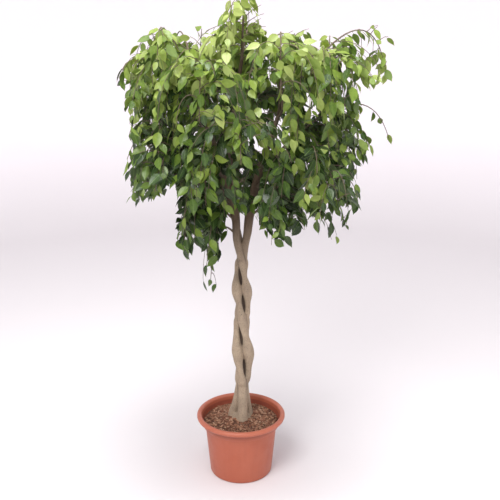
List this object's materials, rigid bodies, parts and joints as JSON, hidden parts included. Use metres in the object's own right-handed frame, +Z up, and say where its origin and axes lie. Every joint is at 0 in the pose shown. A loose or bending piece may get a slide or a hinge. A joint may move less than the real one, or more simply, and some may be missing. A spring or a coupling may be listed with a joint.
{
  "type": "potted weeping fig",
  "caption": "Weeping fig with a braided trunk and a dome of arching, hanging leafy branches, planted in bark mulch in a tapered nursery pot with a rolled rim",
  "frame": {"origin": "middle of the pot's flat underside, where it stands", "axes": "+Z up along the plant's height, -Y towards the viewer of the picture, +X to the viewer's right"},
  "size_m": [0.9497, 0.8475, 1.8459],
  "materials": {
    "pot": "satin terracotta-coloured moulded plastic",
    "soil": "coarse bark mulch over potting soil",
    "bark": "smooth grey-tan bark with fine cross marks",
    "leaves": "glossy dark green leaves with lighter young ones"
  },
  "bodies": {
    "root": {"pot": "pot", "soil": "soil", "trunk": "bark", "leafy_branch_01": "leaves", "leafy_branch_02": "leaves", "leafy_branch_03": "leaves", "leafy_branch_04": "leaves", "leafy_branch_05": "leaves", "leafy_branch_06": "leaves", "leafy_branch_07": "leaves", "leafy_branch_08": "leaves", "leafy_branch_09": "leaves", "leafy_branch_10": "leaves", "leafy_branch_11": "leaves", "leafy_branch_12": "leaves", "leafy_branch_13": "leaves", "leafy_branch_14": "leaves", "leafy_branch_15": "leaves", "leafy_branch_16": "leaves", "leafy_branch_17": "leaves", "leafy_branch_18": "leaves", "leafy_branch_19": "leaves", "leafy_branch_20": "leaves", "leafy_branch_21": "leaves", "leafy_branch_22": "leaves", "leafy_branch_23": "leaves", "leafy_branch_24": "leaves", "leafy_branch_25": "leaves", "leafy_branch_26": "leaves", "leafy_branch_27": "leaves", "leafy_branch_28": "leaves", "leafy_branch_29": "leaves"}
  },
  "joints": []
}
